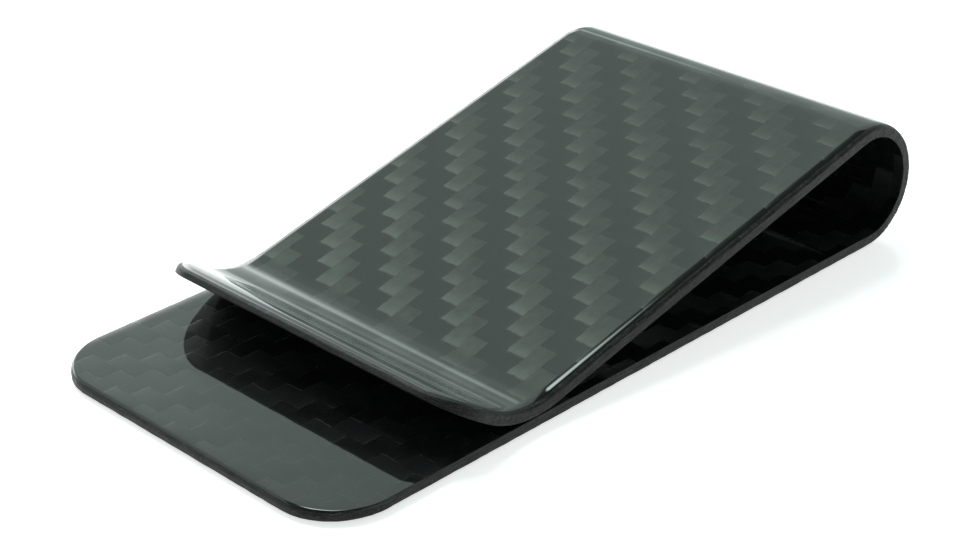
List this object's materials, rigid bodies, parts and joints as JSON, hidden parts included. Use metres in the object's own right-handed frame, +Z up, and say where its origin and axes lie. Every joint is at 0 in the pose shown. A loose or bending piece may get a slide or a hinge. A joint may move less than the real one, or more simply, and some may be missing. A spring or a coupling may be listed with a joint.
{
  "type": "money clip",
  "caption": "Sprung money clip moulded in one strip of carbon-fibre twill: flat base, rear spring loop, sloping arm that pinches near its upturned lip.",
  "frame": {"origin": "middle of the underside, on the surface that the clip rests on", "axes": "+X from the open end to the loop, +Z up from the base to the arm, +Y across the width"},
  "size_m": [0.0722, 0.038, 0.0122],
  "materials": {
    "clear_coat": "glossy clear coat over the weave",
    "twill_carbon": "two-by-two twill of carbon tows about 2 mm wide, set in clear resin",
    "core_carbon": "straight carbon fibre in resin, cut and sanded at the edges"
  },
  "bodies": {
    "base": {"base_outer_clear_coat": "clear_coat", "base_outer_twill_ply": "twill_carbon", "base_outer_core_ply": "core_carbon", "base_middle_core_ply": "core_carbon", "base_inner_core_ply": "core_carbon", "base_inner_twill_ply": "twill_carbon", "base_inner_clear_coat": "clear_coat", "loop_outer_clear_coat": "clear_coat", "loop_outer_twill_ply": "twill_carbon", "loop_outer_core_ply": "core_carbon", "loop_middle_core_ply": "core_carbon", "loop_inner_core_ply": "core_carbon", "loop_inner_twill_ply": "twill_carbon", "loop_inner_clear_coat": "clear_coat"},
    "arm": {"arm_outer_clear_coat": "clear_coat", "arm_outer_twill_ply": "twill_carbon", "arm_outer_core_ply": "core_carbon", "arm_middle_core_ply": "core_carbon", "arm_inner_core_ply": "core_carbon", "arm_inner_twill_ply": "twill_carbon", "arm_inner_clear_coat": "clear_coat"}
  },
  "joints": [
    {"name": "arm_flex", "type": "hinge", "parent": "base", "child": "arm", "pos_m": [0.03, 0, 0.0061], "axis": [0, 1, 0], "range_deg": [0, 8], "stiffness_Nm_per_rad": 10, "deforming": ["loop_outer_clear_coat", "loop_outer_twill_ply", "loop_outer_core_ply", "loop_middle_core_ply", "loop_inner_core_ply", "loop_inner_twill_ply", "loop_inner_clear_coat"]}
  ]
}
